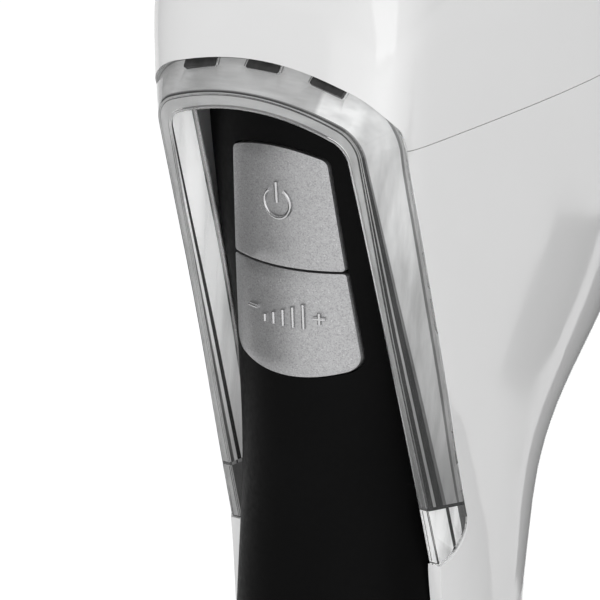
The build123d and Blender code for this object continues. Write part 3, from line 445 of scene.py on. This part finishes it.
# Edges of a strip, as shares of the frame's depth at the crown and at the legs' ends.
REAR = (-0.3, -0.3)        # behind the rear plane
AHEAD = (1.2, 1.2)         # in front of the front plane
LIP_BACK = (0.5, 0.5)
# Bands under the frame's walls paint what the acrylic shows: the pale, bright, lip and tip strips
# are painted light, the grey strips, dark wedges and shade lines painted shade, and the white inner
# wall glows with painted light.
STRIPS = [
    ("frame_edge_band", "outer", REAR, (0.07, 0.17), ARCH, "strip_pale"),
    ("frame_edge_line", "outer", (0.07, 0.17), (0.12, 0.23), ARCH, "strip_grey"),
    ("frame_side_band", "outer", (0.12, 0.23), (0.87, 0.43), ARCH, "strip_bright"),
    ("frame_side_shade", "outer", (0.87, 0.43), (0.89, 0.52), ARCH, "strip_grey"),
    ("frame_wedge", "outer", (0.89, 0.52), (0.92, 0.72), ARCH, "strip_dark"),
    ("frame_wedge_line", "outer", (0.92, 0.72), (0.925, 0.80), ARCH, "strip_pale"),
    ("frame_shade_line", "outer", (0.925, 0.80), (0.985, 0.97), ARCH, "strip_dark"),
    ("frame_rim_line", "outer", (0.985, 0.97), AHEAD, ARCH, "strip_pale"),
    ("frame_inner_foot", "inner", REAR, (0.07, 0.07), LEGS, "strip_bright"),
    ("frame_inner_seam", "inner", (0.07, 0.07), (0.12, 0.12), LEGS, "strip_dotted"),
    ("frame_inner_wall", "inner", (0.12, 0.12), (0.90, 0.46), LEGS, "strip_white"),
    ("frame_inner_wedge", "inner", (0.90, 0.46), (0.93, 0.62), LEGS, "strip_dark"),
    ("frame_inner_line", "inner", (0.93, 0.62), (0.95, 0.76), LEGS, "strip_white"),
    ("frame_inner_shade", "inner", (0.95, 0.76), (0.97, 0.88), LEGS, "strip_grey"),
    ("frame_inner_rim", "inner", (0.97, 0.88), AHEAD, LEGS, "strip_pale"),
    ("frame_crown_wall", "inner", REAR, AHEAD, CROWN, "strip_grey"),
    ("frame_lip", "front", LIP_BACK, AHEAD, ARCH, "strip_lip"),
    ("tip_edge_cell", "outer", REAR, (0.22, 0.22), TIPS, "strip_grey"),
    ("tip_side_cell", "outer", (0.22, 0.22), (0.44, 0.44), TIPS, "strip_tip"),
    ("tip_side_line", "outer", (0.44, 0.44), (0.52, 0.52), TIPS, "strip_dark"),
    ("tip_front_cell", "outer", (0.52, 0.52), (0.95, 0.95), TIPS, "strip_tip"),
    ("tip_front_line", "outer", (0.95, 0.95), AHEAD, TIPS, "strip_dark"),
    ("tip_inner_cell", "inner", REAR, AHEAD, TIPS, "strip_grey"),
    ("tip_joint_outer", "outer", REAR, AHEAD, JOINT, "strip_dark"),
    ("tip_joint_front", "front", LIP_BACK, AHEAD, JOINT, "strip_dark"),
    ("tip_lip", "front", LIP_BACK, AHEAD, TIPS, "strip_tip"),
]
for strip in STRIPS:
    frame_strip(*strip)


# ------------------------------------------------ rounded edges, and raised signs on the keys
def rounded(node, width):
    """Replaces a CAD node by a copy whose sharp edges are rounded."""
    piece = place_piece(node + "_finish", finish_mesh(copied(node), node + "_finish"), node)
    bevel = piece.modifiers.new("round", "BEVEL")
    bevel.width = width
    bevel.segments = 3
    bevel.limit_method = "ANGLE"
    bevel.angle_limit = radians(38)
    bevel.use_clamp_overlap = True
    bevel.harden_normals = False
    graph = bpy.context.evaluated_depsgraph_get()
    mesh = bpy.data.meshes.new_from_object(piece.evaluated_get(graph))
    piece.modifiers.clear()
    piece.data = mesh
    smooth(mesh)
    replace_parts(piece, node)


def tube_mesh(name, strokes, radius):
    """Round wire along each stroke, a list of points."""
    curve = bpy.data.curves.new(name, "CURVE")
    curve.dimensions = "3D"
    curve.bevel_depth = radius
    curve.bevel_resolution = 4
    curve.use_fill_caps = True
    for stroke in strokes:
        spline = curve.splines.new("POLY")
        spline.points.add(len(stroke) - 1)
        for point, place in zip(spline.points, stroke):
            point.co = (*place, 1)
    shape = bpy.data.objects.new(name + "_line", curve)
    bpy.context.scene.collection.objects.link(shape)
    graph = bpy.context.evaluated_depsgraph_get()
    mesh = bpy.data.meshes.new_from_object(shape.evaluated_get(graph))
    bpy.data.objects.remove(shape)
    smooth(mesh)
    return mesh


SIGN_RADIUS = 0.42 * MM            # of the signs' ridges
SIGN_LIFT = 0.3 * SIGN_RADIUS      # from the key's face to the middle of a ridge


def raised_sign(name, node, strokes):
    """Rounded ridges along strokes, lists of (x, z) points that are laid on the front of a key."""
    bm = copied(node)
    tree = BVHTree.FromBMesh(bm)
    bm.free()
    start_y = GRIP_FRONT - 20 * MM
    laid = []
    for stroke in strokes:
        places = []
        for x, z in stroke:
            hit, *_ = tree.ray_cast(Vector((x, start_y, z)), Vector((0, 1, 0)))
            places.append(hit - Vector((0, SIGN_LIFT, 0)))
        laid.append(places)
    place_piece(name, tube_mesh(name, laid, SIGN_RADIUS), node, material="key_sign")


def line(start, end, steps=8):
    """Evenly spaced (x, z) points from start to end."""
    return [
        (start[0] + (end[0] - start[0]) * i / steps, start[1] + (end[1] - start[1]) * i / steps)
        for i in range(steps + 1)
    ]


def power_sign(middle):
    """Open ring with a bar, the usual standby sign, around a height."""
    radius = 2.9 * MM
    gap = radians(33)
    steps = 48
    turns = [gap + (2 * pi - 2 * gap) * i / steps for i in range(steps + 1)]
    ring = [(radius * sin(turn), middle + radius * cos(turn)) for turn in turns]
    bar = line((0, middle + 1.42 * radius), (0, middle + 0.05 * radius))
    raised_sign("power_sign", "power_key", [ring, bar])


def level_sign(middle):
    """Minus, five rising bars and plus: a generic sign for stepping through the levels."""
    plus, arm = 7.5 * MM, 1.1 * MM
    strokes = [
        line((-8.6 * MM, middle), (-6.2 * MM, middle)),
        line((plus - arm, middle), (plus + arm, middle)),
        line((plus, middle - arm), (plus, middle + arm)),
    ]
    foot = middle - 2.3 * MM
    for index in range(5):
        x = (index - 2) * 2.2 * MM
        strokes.append(line((x, foot), (x, foot + (1.4 + 0.84 * index) * MM)))
    raised_sign("level_sign", "select_key", strokes)


for key in ("power_key", "select_key"):
    rounded(key, 0.3 * MM)
power_sign(KEY_LINE + 12.5 * MM)
level_sign(KEY_LINE - 9.2 * MM)


# ------------------------------------------------ release springs, small edges, reflector
WIRE = 0.38 * MM           # radius of the springs' wire
TURNS = 6


def coil_spring(side):
    """Coil for a release spring; the real one shortens towards its inner end as its button goes in,
    this coil keeps its length.
    """
    node = "release_spring_" + side
    low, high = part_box(node)
    middle = (low + high) / 2
    length = high.x - low.x
    coil = (high.z - low.z) / 2 - WIRE
    closed = 1.8 * WIRE                # rise of the closed first and last turns
    room = length - 2 * WIRE - 2 * closed
    steps = 24
    points = []
    for index in range(TURNS * steps + 1):
        turn = index / steps
        first, last = min(turn, 1), max(turn - TURNS + 1, 0)
        between = min(max((turn - 1) / (TURNS - 2), 0), 1)
        x = low.x + WIRE + closed * (first + last) + room * between
        angle = 2 * pi * turn
        points.append((x, middle.y + coil * cos(angle), middle.z + coil * sin(angle)))
    spring = place_piece(node + "_coil", tube_mesh(node + "_coil", [points], WIRE), node)
    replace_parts(spring, node)
    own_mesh(spring)


for side in ("left", "right"):
    coil_spring(side)

SMALL_EDGES = {
    "release_button_left": 0.4 * MM,
    "release_button_right": 0.4 * MM,
    "inlet_bezel": 0.3 * MM,
    "blade_nut": 0.25 * MM,
}
for node, width in SMALL_EDGES.items():
    rounded(node, width)

# The reflector lies just behind the clear frame, so that no two faces share a plane.
reflector = copied("frame_reflector")
for vertex in reflector.verts:
    vertex.co -= FRONT * 0.15 * MM
reflector_mesh = finish_mesh(reflector, "frame_reflector_plate")
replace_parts(place_piece("frame_reflector_plate", reflector_mesh, "frame_reflector"),
            "frame_reflector")


# ------------------------------------------------ camera, floor and light
AZIMUTH = radians(36)      # of the camera, from the keys' side towards +X
ELEVATION = radians(17.2)
DISTANCE = 1.2346
LENS = 400
TARGET = Vector((0, -0.0255, KEY_LINE - 0.008))

# The floor lies below the arm at its lowest, so that a pulled-off arm stays in sight.
FLOOR_LEVEL = -0.055


def look_at(thing, place, target):
    """Puts a camera, lamp or card at a place and turns it to a target."""
    thing.location = place
    thing.rotation_euler = (Vector(target) - Vector(place)).to_track_quat("-Z", "Y").to_euler()


def set_camera():
    away = Vector((sin(AZIMUTH) * cos(ELEVATION), -cos(AZIMUTH) * cos(ELEVATION), sin(ELEVATION)))
    camera = bpy.data.objects.new("camera", bpy.data.cameras.new("camera"))
    camera.data.lens = LENS
    camera.data.sensor_width = 36
    camera.data.clip_start = 0.05
    camera.data.clip_end = 60
    bpy.context.scene.collection.objects.link(camera)
    look_at(camera, TARGET + away * DISTANCE, TARGET)
    bpy.context.scene.camera = camera


def softbox(name, place, aim, size, power):
    """Area lamp of a width and height in metres and a power in watts."""
    light = bpy.data.lights.new(name, "AREA")
    light.shape = "RECTANGLE"
    light.size, light.size_y = size
    light.energy = power
    lamp = bpy.data.objects.new(name, light)
    bpy.context.scene.collection.objects.link(lamp)
    look_at(lamp, place, aim)


def surroundings():
    """Even white sky."""
    world = bpy.data.worlds.new("surroundings")
    world.use_nodes = True
    background = world.node_tree.nodes["Background"]
    background.inputs["Color"].default_value = (1, 1, 1, 1)
    background.inputs["Strength"].default_value = 0.40
    bpy.context.scene.world = world


def studio_floor():
    """Pale floor that glows a little, so that it reads as a white studio sweep."""
    bpy.ops.mesh.primitive_plane_add(size=16, location=(0, 0, FLOOR_LEVEL))
    floor = bpy.context.object
    floor.name = "floor"
    n = Nodes("pale_floor")
    colour = n.ramp(n.noise(3, 3), [(0.3, 0.9), (0.8, 0.93)])
    rough = n.ramp(n.noise(12), [(0.3, 0.75), (0.8, 0.9)])
    floor.data.materials.append(n.wire(Base_Color=colour, Roughness=rough, Specular_IOR_Level=0.2,
                                       Emission_Color=(1, 1, 1, 1), Emission_Strength=0.55))


def studio_card(name, place, aim, size, shade):
    """Card that only shapes reflections and soft light: the camera never sees it."""
    bpy.ops.mesh.primitive_plane_add(size=1)
    card = bpy.context.object
    card.name = name
    card.scale = (size[0], size[1], 1)
    look_at(card, place, aim)
    n = Nodes(name)
    colour = n.ramp(n.noise(6), [(0.3, shade), (0.8, shade * 1.3)])
    card.data.materials.append(n.wire(Base_Color=colour, Roughness=0.95, Specular_IOR_Level=0.0))
    card.visible_camera = False
    card.visible_shadow = False


def upright_card(name, angle, distance, size, shade):
    """Card at an angle from +X, facing the upright axis, with its middle 0.2 m up."""
    middle = Vector((cos(radians(angle)) * distance, sin(radians(angle)) * distance, 0.2))
    studio_card(name, middle, (0, 0, middle.z), size, shade)


def lying_card(name, x, y, size, shade):
    """Card that lies 0.1 m up, facing upwards."""
    studio_card(name, (x, y, 0.1), (x, y, 1), size, shade)


set_camera()
surroundings()
studio_floor()
upright_card("card_left", 212, 0.7, (0.75, 0.42), 0.02)       # darkens the left of the keys
lying_card("card_low", 0.42, 0.08, (0.8, 0.62), 0.08)         # darkens the neck below the head
lying_card("card_wedge", 0.31, 0.7, (0.22, 0.19), 0.01)       # dark reflection in the neck's side
upright_card("card_behind", 94, 0.7, (0.36, 0.34), 0.01)      # dark line along the neck's outline
softbox("overhead", (0.2, 0.4, 2.6), (0, 0.3, 0), (3.6, 3.6), 24)
softbox("right_side", (1.1, -1.7, 1.0), (0, 0, 0.36), (2.2, 1.8), 20)
bpy.context.scene.view_settings.view_transform = "Standard"
bpy.context.scene.view_settings.look = "None"
